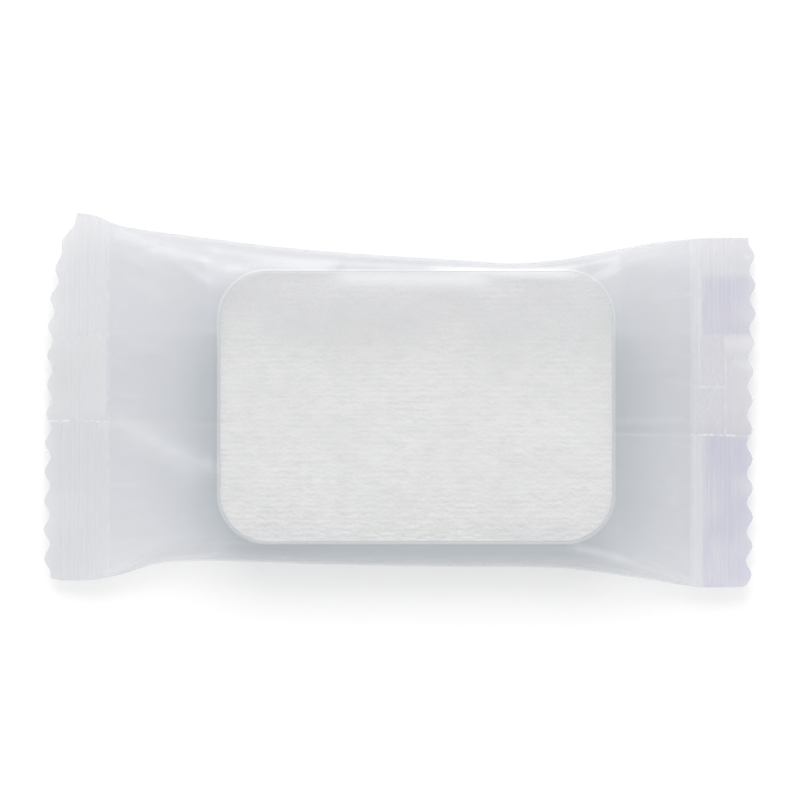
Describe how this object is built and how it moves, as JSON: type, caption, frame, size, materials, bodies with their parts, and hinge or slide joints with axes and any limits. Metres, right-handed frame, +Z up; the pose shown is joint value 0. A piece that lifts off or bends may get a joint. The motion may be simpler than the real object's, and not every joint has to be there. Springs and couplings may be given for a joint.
{
  "type": "pack of compressed cotton pads",
  "caption": "Flat sachet of frosted film with crimped, zigzag-cut ends and a folded back seam, holding a stack of compressed cotton pads with round corners.",
  "frame": {"origin": "middle of the bounding box, at the level of the pack's underside", "axes": "+X along the pack's length, towards the picture's right; +Y across the pack, towards the seam's free edge; +Z up out of the front film, away from the back seam"},
  "size_m": [0.0998, 0.0526, 0.012],
  "materials": {
    "pressed_cotton": "matte",
    "frosted_film": "satin"
  },
  "bodies": {
    "root": {"cotton_pad_1": "pressed_cotton", "cotton_pad_2": "pressed_cotton", "cotton_pad_3": "pressed_cotton", "cotton_pad_4": "pressed_cotton", "cotton_pad_5": "pressed_cotton", "cotton_pad_6": "pressed_cotton", "film_wrapper": "frosted_film"}
  },
  "joints": []
}
